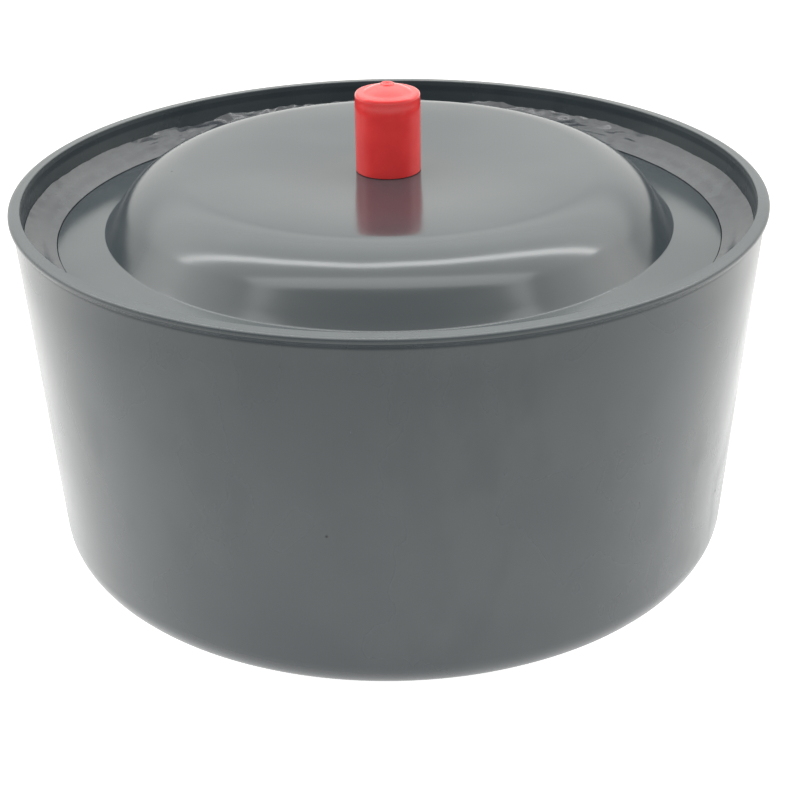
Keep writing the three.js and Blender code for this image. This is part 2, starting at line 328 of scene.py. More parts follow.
def combined(tree, operation, *values):
    """Output of a maths node over values, each of them a number or a node's output."""
    node = tree.nodes.new("ShaderNodeMath")
    node.operation = operation
    for socket, value in zip(node.inputs, values):
        if isinstance(value, (int, float)):
            socket.default_value = value
        else:
            tree.links.new(value, socket)
    return node.outputs[0]


class Nodes:
    """A material with short calls for the nodes that it is made of."""

    def __init__(self, name, color, roughness, metallic=0.0, ior=1.5):
        self.material = bpy.data.materials.new(name)
        self.material.use_nodes = True
        self.tree = self.material.node_tree
        self.shader = self.tree.nodes["Principled BSDF"]
        self.shader.inputs["Base Color"].default_value = (*color, 1)
        self.shader.inputs["Roughness"].default_value = roughness
        self.shader.inputs["Metallic"].default_value = metallic
        self.shader.inputs["IOR"].default_value = ior
        self.place = self.tree.nodes.new("ShaderNodeTexCoord").outputs["Object"]

    def link(self, output, target):
        self.tree.links.new(output, target)

    def stretched(self, scale):
        mapping = self.tree.nodes.new("ShaderNodeMapping")
        mapping.inputs["Scale"].default_value = scale
        self.link(self.place, mapping.inputs["Vector"])
        return mapping.outputs["Vector"]

    def along(self, axis):
        split = self.tree.nodes.new("ShaderNodeSeparateXYZ")
        self.link(self.place, split.inputs[0])
        return split.outputs[axis]

    def noise(self, size_mm, detail=3.0, rough=0.5, stretch=(1, 1, 1)):
        """Cloudy pattern whose blotches are about size_mm across."""
        node = self.tree.nodes.new("ShaderNodeTexNoise")
        node.inputs["Scale"].default_value = 1 / (size_mm * MM)
        node.inputs["Detail"].default_value = detail
        node.inputs["Roughness"].default_value = rough
        self.link(self.stretched(stretch), node.inputs["Vector"])
        return node.outputs["Fac"]

    def distance(self):
        """How far a point is from the object's origin."""
        node = self.tree.nodes.new("ShaderNodeVectorMath")
        node.operation = "LENGTH"
        self.link(self.place, node.inputs[0])
        return node.outputs["Value"]

    def cells(self, size_mm):
        """Distance to scattered points that are about size_mm apart."""
        node = self.tree.nodes.new("ShaderNodeTexVoronoi")
        node.inputs["Scale"].default_value = 1 / (size_mm * MM)
        self.link(self.place, node.inputs["Vector"])
        return node.outputs["Distance"]

    def ramp(self, value, low_in, high_in, low_out, high_out):
        """Maps one range to another smoothly and holds the ends."""
        node = self.tree.nodes.new("ShaderNodeMapRange")
        node.interpolation_type = "SMOOTHSTEP"
        node.inputs["From Min"].default_value = low_in
        node.inputs["From Max"].default_value = high_in
        node.inputs["To Min"].default_value = low_out
        node.inputs["To Max"].default_value = high_out
        self.link(value, node.inputs["Value"])
        return node.outputs["Result"]

    def combine(self, operation, a, b):
        return combined(self.tree, operation, a, b)

    def mix(self, share, first, second):
        """Blends two colours, each of them a triple or a node's output."""
        node = self.tree.nodes.new("ShaderNodeMix")
        node.data_type = "RGBA"
        self.link(share, node.inputs["Factor"])
        for key, color in ((6, first), (7, second)):
            if isinstance(color, tuple):
                node.inputs[key].default_value = (*color, 1)
            else:
                self.link(color, node.inputs[key])
        return node.outputs[2]

    def bump(self, height, depth_mm):
        """Adds relief on top of any that the material has already."""
        node = self.tree.nodes.new("ShaderNodeBump")
        node.inputs["Strength"].default_value = 1.0
        node.inputs["Distance"].default_value = depth_mm * MM
        self.link(height, node.inputs["Height"])
        if self.shader.inputs["Normal"].is_linked:
            self.link(self.shader.inputs["Normal"].links[0].from_socket, node.inputs["Normal"])
        self.link(node.outputs["Normal"], self.shader.inputs["Normal"])

    def color(self, output):
        self.link(output, self.shader.inputs["Base Color"])

    def roughness(self, output):
        self.link(output, self.shader.inputs["Roughness"])


PLASTIC_BASE = (0.023, 0.030, 0.032)
PLASTIC_DARK = (0.020, 0.026, 0.030)
PLASTIC_PALE = (0.026, 0.033, 0.037)
PLASTIC_SMEAR = (0.018, 0.024, 0.028)
PLASTIC_SPECK = (0.010, 0.010, 0.010)


def black_plastic(name, sheen, handling, painted_shade_to=None):
    """Satin black moulding: faint mottling, rubbed patches, handling smears and a few specks.

    The last argument is the height in millimetres up to which the hollow under an overhang gets painted
    shade: its reflection is turned down there.
    """
    m = Nodes(name, PLASTIC_BASE, sheen)
    patches = m.noise(38, 2, 0.5)
    smears = m.noise(10, 3, 0.5, (1, 1, 0.5))
    handled = m.ramp(smears, 0.42, 0.74, 0, 1)
    prints = m.combine("MULTIPLY", handled, m.ramp(m.noise(60, 2, 0.5), 0.40, 0.64, 0, 1))
    mottle = m.ramp(patches, 0.35, 0.7, 0, 1)
    tint = m.mix(mottle, PLASTIC_DARK, PLASTIC_PALE)
    tint = m.mix(m.combine("MULTIPLY", prints, handling), tint, PLASTIC_SMEAR)
    specks = m.ramp(m.cells(17), 0.016, 0.024, 1, 0)
    m.color(m.mix(specks, tint, PLASTIC_SPECK))
    worn = m.ramp(patches, 0.4, 0.75, sheen - 0.02, sheen + 0.04)
    rubbed = m.combine("ADD", m.combine("MULTIPLY", prints, 0.05 * handling), worn)
    m.roughness(m.combine("ADD", rubbed, m.ramp(specks, 0, 1, 0, 0.5)))
    # Painted shade: a band just under the lip overhang has its specular level turned down from 0.5 to 0.1,
    # so it reflects less, standing in for the shade there.
    if painted_shade_to:
        height = m.along("Z")
        above = m.ramp(height, (painted_shade_to - 2.4) * MM, (painted_shade_to - 1.2) * MM, 0, 1)
        below = m.ramp(height, (painted_shade_to - 0.2) * MM, painted_shade_to * MM, 1, 0)
        under_lip_painted_shade = m.combine("MULTIPLY", above, below)
        m.link(m.ramp(under_lip_painted_shade, 0, 1, 0.5, 0.1), m.shader.inputs["Specular IOR Level"])
    m.bump(m.noise(24, 2, 0.5), 0.07)
    m.bump(m.noise(2.2, 2, 0.5), 0.0025)
    return m.material


def wet_sealant():
    """Glossy sealant, smooth at the near side and dimpled at the far side."""
    m = Nodes("sealant_gloss", (0.026, 0.029, 0.034), 0.16, ior=1.38)
    streaks = m.noise(5, 4, 0.6, (1, 1, 2))
    streaky = m.ramp(streaks, 0.4, 0.7, 0, 1)
    m.color(m.mix(streaky, (0.022, 0.025, 0.030), (0.036, 0.040, 0.045)))
    m.roughness(m.ramp(streaks, 0.35, 0.7, 0.12, 0.26))
    far_side = m.ramp(m.along("Y"), 0.05, 0.078, 0.03, 1)
    m.bump(m.combine("MULTIPLY", m.noise(3.0, 3, 0.5), far_side), 0.12)
    return m.material


def red_plastic():
    """Glossy red moulding that light enters a little."""
    m = Nodes("knob_red", (0.48, 0.026, 0.026), 0.25, ior=1.43)
    m.shader.inputs["Subsurface Weight"].default_value = 0.12
    m.shader.inputs["Subsurface Radius"].default_value = (0.004, 0.0008, 0.0006)
    m.shader.inputs["Subsurface Scale"].default_value = 1.0
    clouds = m.noise(6, 3, 0.5)
    m.color(m.mix(m.ramp(clouds, 0.35, 0.7, 0, 1), (0.46, 0.024, 0.025), (0.50, 0.029, 0.029)))
    m.roughness(m.ramp(m.noise(1.6, 3, 0.6), 0.35, 0.7, 0.11, 0.17))
    m.bump(m.noise(6, 2, 0.5), 0.03)
    return m.material


def soft_rubber(name, color):
    """Dull black rubber with blotches of pale dust."""
    m = Nodes(name, color, 0.72, ior=1.45)
    dust = m.noise(14, 5, 0.6)
    pale = tuple(c * 2.4 + 0.004 for c in color)
    m.color(m.mix(m.ramp(dust, 0.45, 0.8, 0, 1), color, pale))
    m.roughness(m.ramp(m.noise(4, 4, 0.6), 0.3, 0.7, 0.6, 0.86))
    m.bump(m.noise(0.8, 4, 0.6), 0.03)
    return m.material


def machined(name, color, roughness, stretch=(1, 1, 1)):
    """Metal with turning or rolling marks, faint stains and fine scratches."""
    m = Nodes(name, color, roughness, metallic=1.0)
    marks = m.noise(0.6, 3, 0.6, stretch)
    stains = m.noise(6, 4, 0.6)
    dark = tuple(c * 0.72 for c in color)
    m.color(m.mix(m.ramp(stains, 0.42, 0.72, 0, 1), color, dark))
    m.roughness(m.ramp(stains, 0.3, 0.75, roughness - 0.06, roughness + 0.14))
    m.bump(marks, 0.008)
    return m.material


def cast_metal():
    """Cast aluminium with a coarse skin and darker stains."""
    m = Nodes("hub_cast", (0.56, 0.57, 0.58), 0.45, metallic=1.0)
    stains = m.ramp(m.noise(9, 4, 0.6), 0.4, 0.75, 0, 1)
    m.color(m.mix(stains, (0.58, 0.59, 0.60), (0.40, 0.40, 0.40)))
    m.roughness(m.ramp(m.noise(3, 4, 0.6), 0.3, 0.7, 0.36, 0.58))
    m.bump(m.noise(0.9, 3, 0.6), 0.05)
    return m.material


SHELL_PLASTIC = black_plastic("shell_black", 0.27, 1.0, painted_shade_to=LIP_SHADE_TOP)
LID_PLASTIC = black_plastic("lid_black", 0.165, 0.35)
SEALANT = wet_sealant()
RED = red_plastic()
LINER_RUBBER = soft_rubber("liner_rubber", (0.018, 0.018, 0.018))
SEAL_RUBBER = soft_rubber("seal_rubber", (0.024, 0.024, 0.024))
STEEL = machined("zinc_steel", (0.60, 0.61, 0.62), 0.30)
ROD_STEEL = machined("rod_steel", (0.64, 0.64, 0.64), 0.24, (1, 1, 6))
PLATE_STEEL = machined("plate_steel", (0.58, 0.585, 0.59), 0.34, (6, 1, 1))
BRASS = machined("insert_brass", (0.74, 0.53, 0.22), 0.30)
CAST = cast_metal()


# Barrel


@functools.lru_cache(maxsize=None)
def wall_slope():
    """How much the outer wall's radius grows for each millimetre of height."""
    return (high("barrel_shell").x - FOOT_RADIUS) / (high("barrel_shell").z - WALL / 2)


def bore_at(height):
    """Radius of the shell's inner wall at a height."""
    slope = wall_slope()
    return FOOT_RADIUS + slope * height - WALL * math.hypot(1, slope)


def moulding_path(wall_top, distance=0.0, roof_ease=1.2, foot_ease=1.2):
    """The shell's outer face, or its parallel: axis, recess, foot and wall up to a height."""
    lean = math.atan(wall_slope())
    fillet_centre = FOOT_RADIUS - FOOT_FILLET / math.tan((math.pi / 2 + lean) / 2)
    fillet = arc(fillet_centre, FOOT_FILLET, FOOT_FILLET, -math.pi / 2, -lean, 10)
    path = [(0, RECESS_DEPTH), (RECESS_RADIUS - RECESS_DRAFT, RECESS_DEPTH), (RECESS_RADIUS, 0)]
    path += fillet + [(FOOT_RADIUS + wall_slope() * wall_top, wall_top)]
    if distance:
        path = offset(path, distance)
        path[0] = (0, path[0][1])
    eases = [0, roof_ease, foot_ease] + [0] * (len(path) - 3)
    return rounded([(*point, ease) for point, ease in zip(path, eases)], False)


def out_of_true(amount, waves, seed):
    """A slow wander of the radius round a moulding, as it comes out of the tool."""
    def shape(angle, r, z):
        place = Vector((math.cos(angle) * waves, math.sin(angle) * waves, z / 60 + seed))
        return r + amount * noise.noise(place), z
    return shape


def make_shell():
    top = high("barrel_shell").z
    outer = moulding_path(top)
    inner = moulding_path(top, WALL)
    lip_out = outer.pop()
    lip_in = inner.pop()
    brow = lip_out[0] + LIP_OVERHANG
    start = (lip_out[0] - wall_slope() * LIP_HEIGHT, top - LIP_HEIGHT)
    turn = (lip_out[0] + LIP_OVERHANG * 0.35, top - LIP_OUTER_DROP - 0.45)
    lip = curve(start, (start[0] + 0.05, turn[1] - 0.2), turn, 4)
    lip += curve(turn, (brow, top - LIP_OUTER_DROP), (brow, top - LIP_OUTER_DROP * 0.6), 5)[1:]
    lip += curve(lip[-1], (brow, top), (lip_out[0] - LIP_OUTER_REACH, top), 8)[1:]
    lip += curve((lip_in[0] + LIP_INNER_EASE, top), lip_in, (lip_in[0], top - LIP_INNER_EASE), 5)
    outline = finer(outer + lip + inner[::-1], False, 6)
    shell = lathe("shell_moulding", outline, False, SHELL_SEGMENTS, out_of_true(-0.07, 1.4, 3.0))
    reach = RECESS_DEPTH - THROUGH, RECESS_DEPTH + WALL + THROUGH
    drill(shell, [(0, 0)], ROD_HOLE, *reach)
    drill(shell, SCREW_PLACES, SCREW_HOLE, *reach)
    return finish_piece(shell, SHELL_PLASTIC, "black_plastic", "barrel_shell")


def make_liner():
    bottom = low("liner_wall").z
    top = high("liner_wall").z
    back = bore_at(bottom) - GAP, bore_at(top) - GAP
    wall = rounded([
        (back[0], bottom, 0),
        (back[1], top, 0.8),
        (back[1] - LINER, top, 0.8),
        (back[0] - LINER, bottom + 0.2, 0),
    ])

    def ribs(angle, r, z):
        depth = (bore_at(z) - GAP) - r
        if depth < LINER * 0.5:
            return r, z
        turn = (angle + math.pi / 2) * LINER_RIBS / (2 * math.pi)
        away = abs(turn - round(turn)) * 2 * math.pi / LINER_RIBS * r
        swell = 0.5 * (1 + math.cos(math.pi * min(away / RIB_HALF_WIDTH, 1)))
        end = min(1, (z - bottom - 2) / RIB_RUNOUT, (top - 2 - z) / RIB_RUNOUT)
        fade = math.sin(max(end, 0) * math.pi / 2)
        return r - RIB_HEIGHT * swell * fade, z

    sleeve = lathe("liner_sleeve", finer(wall, True, 2.5), True, FINE_SEGMENTS, ribs)
    finish_piece(sleeve, LINER_RUBBER, "liner_rubber", "liner_wall")
    back_face = moulding_path(top, WALL + GAP)[:-1]
    face = moulding_path(top, WALL + GAP + LINER, 1.6, 1.6)[:-1]
    floor = lathe("liner_base", finer(back_face + face[::-1], False, 5), False, FLOOR_SEGMENTS)
    reach = low("liner_floor").z - THROUGH, high("liner_floor").z + THROUGH
    drill(floor, [(0, 0)], ROD_HOLE, *reach)
    drill(floor, SCREW_PLACES, SCREW_HOLE, *reach)
    finish_piece(floor, LINER_RUBBER, "liner_rubber", "liner_floor")


def make_seat_ring():
    bottom, top = low("seat_ring").z, high("seat_ring").z
    inner = SEAT_RING_INNER
    ledge = low("lid_gasket").z - GAP
    ring = rounded([
        (inner, bottom, 0.5),
        (bore_at(bottom) - GAP, bottom, 0.4),
        (bore_at(top) - GAP, top, 0.4),
        (REBATE, top, 0.4),
        (REBATE, ledge, 0.3),
        (inner, ledge, 0.5),
    ])
    finish_piece(lathe("seat_ring_moulding", ring), SHELL_PLASTIC, "black_plastic", "seat_ring")


def wrinkle_share(angle):
    """How strongly the sealant is wrinkled: most on the far side, smooth to the left and the right."""
    share = min(1.0, max(0.0, (math.sin(angle) - 0.5) / 0.3))
    return 0.05 + 0.95 * share * share * (3 - 2 * share)


def ring_noise(angle, waves, height):
    """Smooth noise round the ring that closes on itself, with more waves for a larger number."""
    return noise.noise(Vector((math.cos(angle) * waves, math.sin(angle) * waves, height)))


def make_sealant():
    bottom = low("sealant_bead").z
    highest = high("sealant_bead").z + 1.4
    outer = bore_at(BEAD_WALL_TOP) - BEAD_GAP
    face = []
    for k in range(BEAD_ROWS + 1):
        t = k / BEAD_ROWS
        sag = -0.42 * math.sin(math.pi * t) + 0.25 * math.sin(math.pi * t) ** 6
        z = BEAD_WALL_TOP + (BEAD_INNER_TOP - BEAD_WALL_TOP) * t + sag
        face.append((outer + (REBATE - outer) * t, z))
    outline = [(REBATE, bottom), (bore_at(bottom) - BEAD_GAP, bottom)] + face

    def smear(angle, r, z):
        if z < bottom + 0.3:
            return r, z
        t = (outer - r) / (outer - REBATE)
        wrinkled = wrinkle_share(angle)
        run = Vector((math.cos(angle) * 9, math.sin(angle) * 9, t * 2.2))
        long_folds = noise.fractal(run, 1.0, 2.0, 4)
        slant = Vector((math.cos(angle) * 22 + t * 2, math.sin(angle) * 22, t * 5.5 + 7))
        fine_folds = noise.noise(slant) * 0.5
        middle = math.sin(math.pi * min(max(t * 0.92 + 0.08, 0), 1)) ** 0.7
        lift = wrinkled * middle * (0.55 * long_folds + 0.75 * fine_folds)
        edge = max(0.0, 1 - t * 3.5)
        creep = edge * (0.35 + 0.9 * wrinkled) * ring_noise(angle, 7, 2.0)
        tooth = edge * (0.15 + 0.5 * wrinkled) * ring_noise(angle, 30, 5.0)
        inner_edge = 0.12 * ring_noise(angle, 12, 9.0) if t > 0.9 else 0
        height = min(z + lift + creep + tooth, highest)
        return min(r - inner_edge, bore_at(height) - 0.03), height

    bead = lathe("sealant_ring", outline, True, BEAD_SEGMENTS, smear, crease=60)
    finish_piece(bead, SEALANT, "sealant", "sealant_bead")


# Lid


def lid_paths():
    edge = high("lid").x
    top = high("lid").z
    upright = math.pi / 2
    shoulder_height = top - SHOULDER_RADIUS
    start = upright - SHOULDER_SWEEP
    shoulder = arc(DOME_FLAT_RADIUS, shoulder_height, SHOULDER_RADIUS, start, upright, 22)
    dish = []
    for t in [k / DISH_STEPS for k in range(1, DISH_STEPS + 1)]:
        r = DOME_FLAT_RADIUS + (KNOB_SEAT_RADIUS - DOME_FLAT_RADIUS) * t
        dish.append((r, top - (top - KNOB_SEAT_TOP) * (1 - math.cos(math.pi * t)) / 2))
    flange = [(edge, LEDGE_EDGE_TOP, 0), (CREASE_RADIUS, CREASE_TOP, 0.35), (*shoulder[0], 0)]
    foot = rounded(flange, False, 6)
    upper = foot[:-1] + shoulder + dish + [(LID_HOLE, KNOB_SEAT_TOP)]
    return upper, offset(upper, WALL)


def make_lid():
    upper, under = lid_paths()
    under[0] = (upper[0][0], LEDGE_EDGE_TOP - WALL)
    edge = [(*under[1], 0), (*under[0], 0.4), (*upper[0], 0.15), (*upper[1], 0)]
    edge = rounded(edge, False)[1:-1]
    hole = [(*upper[-2], 0), (*upper[-1], 0.3), (*under[-1], 0.3), (*under[-2], 0)]
    hole = rounded(hole, False)[1:-1]
    outline = finer(edge + upper[1:-1] + hole + under[1:-1][::-1], True, 3)
    lid = lathe("lid_moulding", outline, True, FINE_SEGMENTS, lid_warp)
    finish_piece(lid, LID_PLASTIC, "black_plastic", "lid")


def lid_warp(angle, r, z):
    """The thin dome isn't quite true: its shoulder wanders by a few hundredths of a millimetre."""
    weight = max(0.0, 1 - abs(r - 62) / 24)
    place = Vector((math.cos(angle) * 1.7, math.sin(angle) * 1.7, r / 30))
    return r, z - 0.09 * weight * (0.5 + noise.noise(place))


def make_gasket():
    lo, hi = low("lid_gasket"), high("lid_gasket")
    inner = GASKET_INNER
    middle = (inner + hi.x) / 2
    ring = rounded([
        (inner, lo.z, 0.4),
        (middle - GASKET_GROOVE, lo.z + 0.25, 0.3),
        (middle, lo.z, 0.3),
        (middle + GASKET_GROOVE, lo.z + 0.25, 0.3),
        (hi.x, lo.z, 0.4),
        (hi.x, hi.z - 0.65, 0.4),
        (inner, hi.z, 0.4),
    ])
    finish_piece(lathe("gasket_ring", ring), SEAL_RUBBER, "seal_rubber", "lid_gasket")


# Knob


def make_knob():
    hi = high("knob")
    skirt = KNOB_SEAT_TOP + KNOB_CLEARANCE
    bore = high("knob_insert").x + GAP
    bore_bottom = low("knob_insert").z - GAP
    bore_top = high("knob_insert").z + GAP
    cap_top = KNOB_SHOULDER_TOP + KNOB_CAP_RISE
    sphere = (KNOB_CAP_RADIUS ** 2 + KNOB_CAP_RISE ** 2) / (2 * KNOB_CAP_RISE)
    radii = np.linspace(KNOB_CAP_RADIUS, NUB_FOOT_RADIUS + 0.15, 14)
    dome = [(r, cap_top - sphere + math.sqrt(sphere ** 2 - r ** 2)) for r in radii]
    nub = [
        (NUB_FOOT_RADIUS, cap_top - 0.1, 0),
        (1.75, hi.z, 0.25),
        (1.15, hi.z, 0.25),
        (0.85, hi.z - 0.45, 0.3),
        (0, hi.z - 0.5, 0),
    ]
    body = rounded([
        (0, bore_top, 0),
        (bore, bore_top, 0.3),
        (bore, bore_bottom, 0.2),
        (KNOB_RECESS_RADIUS, bore_bottom, 0.2),
        (KNOB_RECESS_RADIUS, skirt, 0.3),
        (hi.x, skirt, 0.2),
        (hi.x, KNOB_SHOULDER_TOP - 4, 0),
    ], False, 8)
    shoulder_end = (hi.x - 1.1, KNOB_SHOULDER_TOP)
    shoulder_start = (hi.x - 0.12, KNOB_SHOULDER_TOP - 1.3)
    body += curve(shoulder_start, (hi.x - 0.05, KNOB_SHOULDER_TOP), shoulder_end, 10)
    neck = [(*shoulder_end, 0), (KNOB_CAP_RADIUS + 0.15, KNOB_SHOULDER_TOP, 0.4), (*dome[1], 0)]
    body += rounded(neck, False)[1:-1]
    outline = finer(body + dome[1:] + rounded(nub, False), False, 1.5)
    knob = lathe("knob_cap", outline, False, KNOB_SEGMENTS)
    finish_piece(knob, RED, "red_plastic", "knob")


def make_washer(name, node, hole, material, slot, ease=0.25):
    lo, hi = low(node), high(node)
    x, y = centre(node).xy
    radius = hi.x - x
    ring = rounded([
        (hole, lo.z, ease * 0.5),
        (radius, lo.z, ease),
        (radius, hi.z, ease),
        (hole, hi.z, ease * 0.5),
    ])
    return finish_piece(lathe(name, ring, True, WASHER_SEGMENTS, at=(x, y)), material, slot, node)


def make_insert():
    """Brass insert with two knurled bands and a plain waist."""
    lo, hi = low("knob_insert"), high("knob_insert")
    middle = (lo.z + hi.z) / 2
    outline = rounded([
        (ROD_HOLE, lo.z, 0.3),
        (hi.x, lo.z, 0.3),
        (hi.x, middle - 0.9, 0.2),
        (hi.x - 0.5, middle - 0.7, 0.1),
        (hi.x - 0.5, middle + 0.7, 0.1),
        (hi.x, middle + 0.9, 0.2),
        (hi.x, hi.z, 0.3),
        (ROD_HOLE, hi.z, 0.3),
    ])

    def knurl(angle, r, z):
        if r < hi.x - 0.1:
            return r, z
        return r - 0.14 * (1 + math.cos(36 * angle)) / 2, z

    insert = lathe("brass_insert", finer(outline, True, 1), True, FINE_SEGMENTS, knurl)
    finish_piece(insert, BRASS, "brass", "knob_insert")


# Rod, nuts and screws


def threaded(radius, pitch, stretches):
    """Shape that cuts a thread on the given stretches of height."""
    depth = THREAD_DEPTH_SHARE * pitch

    def shape(angle, r, z):
        for start, end in stretches:
            if start <= z <= end and r > radius - 0.01:
                fade = min(1, (z - start) / pitch, (end - z) / pitch)
                phase = (z / pitch - angle / (2 * math.pi)) % 1
                return r - depth * fade * (1 - abs(2 * phase - 1)), z
        return r, z
    return shape


def make_rod():
    lo, hi = low("tie_rod"), high("tie_rod")
    radius = hi.x
    tip = radius - 0.6
    ends = [lo.z + 0.6, hi.z - 0.6]
    stretches = [(ends[0], high("rod_nut").z + 4), (hi.z - 34, ends[1])]
    heights = []
    for start, end in stretches:
        heights += list(np.arange(start, end, ROD_PITCH / 8)) + [end]
    outline = [(0, lo.z), (tip, lo.z)] + [(radius, z) for z in heights] + [(tip, hi.z), (0, hi.z)]
    cut_thread = threaded(radius, ROD_PITCH, stretches)
    rod = lathe("threaded_rod", outline, False, THREAD_SEGMENTS, cut_thread, crease=50)
    finish_piece(rod, ROD_STEEL, "steel", "tie_rod")


def hexagon_turn(angle):
    """Angle from the nearest corner of a hexagon."""
    return (angle + math.pi / 6) % (math.pi / 3) - math.pi / 6


def make_nut(name, node, hole):
    """Hexagon nut: a round with six flats, chamfered at its corners top and bottom."""
    lo, hi = low(node), high(node)
    x, y = centre(node).xy
    corner = hi.x - x
    flat = corner * math.cos(math.pi / 6)
    drop = 0.28 * (corner - flat) * 2
    rows = [(hole + 0.25, lo.z), (flat - 0.05, lo.z), (corner, lo.z + drop), (corner, hi.z - drop)]
    rows += [(flat - 0.05, hi.z), (hole + 0.25, hi.z), (hole, hi.z - 0.25), (hole, lo.z + 0.25)]

    def hexagon(angle, r, z):
        limit = flat / math.cos(math.pi / 6 - abs(hexagon_turn(angle)))
        return min(r, limit), z

    nut = lathe(name, finer(rows, True, 1.2), True, NUT_SEGMENTS, hexagon, at=(x, y), crease=24)
    return finish_piece(nut, STEEL, "steel", node)


def make_hub_screws():
    for i in range(1, 5):
        node = f"hub_screw_{i}"
        lo, hi = low(node), high(node)
        x, y = centre(node).xy
        head = hi.x - x
        under = high("clamp_plate").z + GAP
        shank = SCREW_SHANK
        top = hi.z
        cap = [(head, under + 0.15), (head, under + 0.55)]
        for k in range(1, 9):
            a = math.pi / 2 * k / 9
            r = 1.9 + (head - 1.9) * math.cos(a)
            cap.append((r, under + 0.55 + (top - under - 0.55) * math.sin(a)))
        socket = [(1.75, top), (1.55, top - 0.15), (1.45, top - 1.6), (0, top - 1.8)]
        thread_top = under - 4
        heights = list(np.arange(lo.z + 0.5, thread_top, SCREW_PITCH / 6)) + [thread_top]
        outline = [(0, lo.z), (shank - 0.5, lo.z)] + [(shank, z) for z in heights]
        outline += [(shank, under), (head - 0.2, under)] + cap + socket
        cut_thread = threaded(shank, SCREW_PITCH, [(heights[0], thread_top)])

        def shape(angle, r, z, cut_thread=cut_thread, top=top, under=under):
            if z > under and r < 1.6:
                return r / math.cos(hexagon_turn(angle)), z
            return cut_thread(angle, r, z) if z < under else (r, z)

        screw = lathe(f"button_screw_{i}", outline, False, THREAD_SEGMENTS, shape, at=(x, y))
        finish_piece(screw, STEEL, "steel", node)
        make_washer(f"plain_washer_{i}", f"hub_washer_{i}", SCREW_HOLE, STEEL, "steel", 0.15)
        make_nut(f"hex_nut_{i}", f"hub_nut_{i}", SCREW_HOLE)


def make_clamp_plate():
    lo, hi = low("clamp_plate"), high("clamp_plate")
    disc = rounded([(0, lo.z, 0), (hi.x, lo.z, 0.4), (hi.x, hi.z, 0.5), (0, hi.z, 0)], False)
    plate = lathe("steel_plate", finer(disc, False, 6), False, PLATE_SEGMENTS)
    reach = lo.z - THROUGH / 2, hi.z + THROUGH / 2
    drill(plate, [(0, 0)], ROD_HOLE, *reach)
    drill(plate, SCREW_PLACES, SCREW_HOLE, *reach)
    finish_piece(plate, PLATE_STEEL, "steel", "clamp_plate")


def make_hub():
    lo, hi = low("drive_hub"), high("drive_hub")
    flange_bottom = high("hub_washer_1").z + GAP
    bore_top = lo.z + HUB_BORE_DEPTH
    body = rounded([
        (ROD_HOLE, bore_top, 0.2),
        (HUB_BORE, bore_top, 0.3),
        (HUB_BORE, lo.z, 0.5),
        (HUB_BOSS, lo.z, 0.8),
        (HUB_BOSS, flange_bottom, 1.2),
        (hi.x, flange_bottom, 0.7),
        (hi.x, hi.z, 0.5),
        (ROD_HOLE, hi.z, 0.2),
    ])
    hub = lathe("cast_hub", finer(body, True, 6), True, KNOB_SEGMENTS)
    drill(hub, SCREW_PLACES, SCREW_HOLE, flange_bottom - 3, hi.z + 1)
    for i in (1, 2):
        side_hole(hub, f"set_screw_{i}")
    finish_piece(hub, CAST, "cast_aluminium", "drive_hub")


def lying_lathe(name, node, outline, segments, shape=None):
    """A round piece that lies along X or Y, out from the axis, where a CAD node lies."""
    piece = lathe(name, outline, False, segments, shape)
    middle = centre(node)
    out = Vector((middle.x, middle.y, 0)).normalized()
    side = out.cross(Vector((0, 0, 1)))
    turn = Matrix((side, Vector((0, 0, 1)), out)).transposed()
    if turn.determinant() < 0:
        turn = Matrix((-side, Vector((0, 0, 1)), out)).transposed()
    piece.data.transform(Matrix.Translation(Vector((0, 0, middle.z * MM))) @ turn.to_4x4())
    return piece


def side_hole(hub, node):
    """Cuts the threaded hole that a set screw sits in."""
    start, end = HUB_BORE / 2, HUB_BOSS + 3
    hole = [(0, start), (SCREW_HOLE, start), (SCREW_HOLE, end), (0, end)]
    subtract(hub, lying_lathe("cutter", node, hole, 32))


def make_set_screws():
    for i in (1, 2):
        node = f"set_screw_{i}"
        lo, hi = low(node), high(node)
        middle = centre(node)
        reach = max(hi.x - lo.x, hi.y - lo.y) / 2
        out = Vector((middle.x, middle.y)).length
        start, end = out - reach, out + reach
        heights = list(np.arange(start + 0.5, end - 0.4, SCREW_PITCH / 6)) + [end - 0.4]
        outline = [(0, start), (1.7, start)] + [(SCREW_SHANK, z) for z in heights]
        outline += [(2.1, end), (1.35, end), (1.25, end - 2.2), (0, end - 2.5)]
        cut_thread = threaded(SCREW_SHANK, SCREW_PITCH, [(heights[0], heights[-1])])

        def shape(angle, r, z, cut_thread=cut_thread, end=end):
            if z > end - 3 and r < 1.4:
                return r / math.cos(hexagon_turn(angle)), z
            return cut_thread(angle, r, z)

        screw = lying_lathe(f"grub_screw_{i}", node, outline, HOLE_SEGMENTS, shape)
        finish_piece(screw, STEEL, "steel", node)


# Stage and light


FLOOR_HALF_WIDTH = 40.0
FLOOR_GAP = 0.0002
PANEL_DISTANCE = 1.5


def add_floor():
    """Pale floor that glows softly round the barrel, so that it casts next to no shadow."""
    half = FLOOR_HALF_WIDTH
    corners = [(-half, -half, 0), (half, -half, 0), (half, half, 0), (-half, half, 0)]
    mesh = bpy.data.meshes.new("floor")
    mesh.from_pydata(corners, [], [(0, 1, 2, 3)])
    floor = bpy.data.objects.new("floor", mesh)
    floor.location.z = CAD_BOX[0][2] - FLOOR_GAP
    bpy.context.scene.collection.objects.link(floor)
    m = Nodes("floor_pale", (0.5, 0.5, 0.5), 0.9)
    m.shader.inputs["Specular IOR Level"].default_value = 0.1
    clouds = m.ramp(m.noise(300, 2, 0.5), 0.3, 0.7, 0, 1)
    m.color(m.mix(clouds, (0.44, 0.44, 0.44), (0.46, 0.46, 0.46)))
    m.shader.inputs["Emission Color"].default_value = (1, 1, 1, 1)
    glow = m.ramp(m.distance(), 0.10, 0.34, 1.0, 0.15)
    m.link(glow, m.shader.inputs["Emission Strength"])
    mesh.materials.append(m.material)


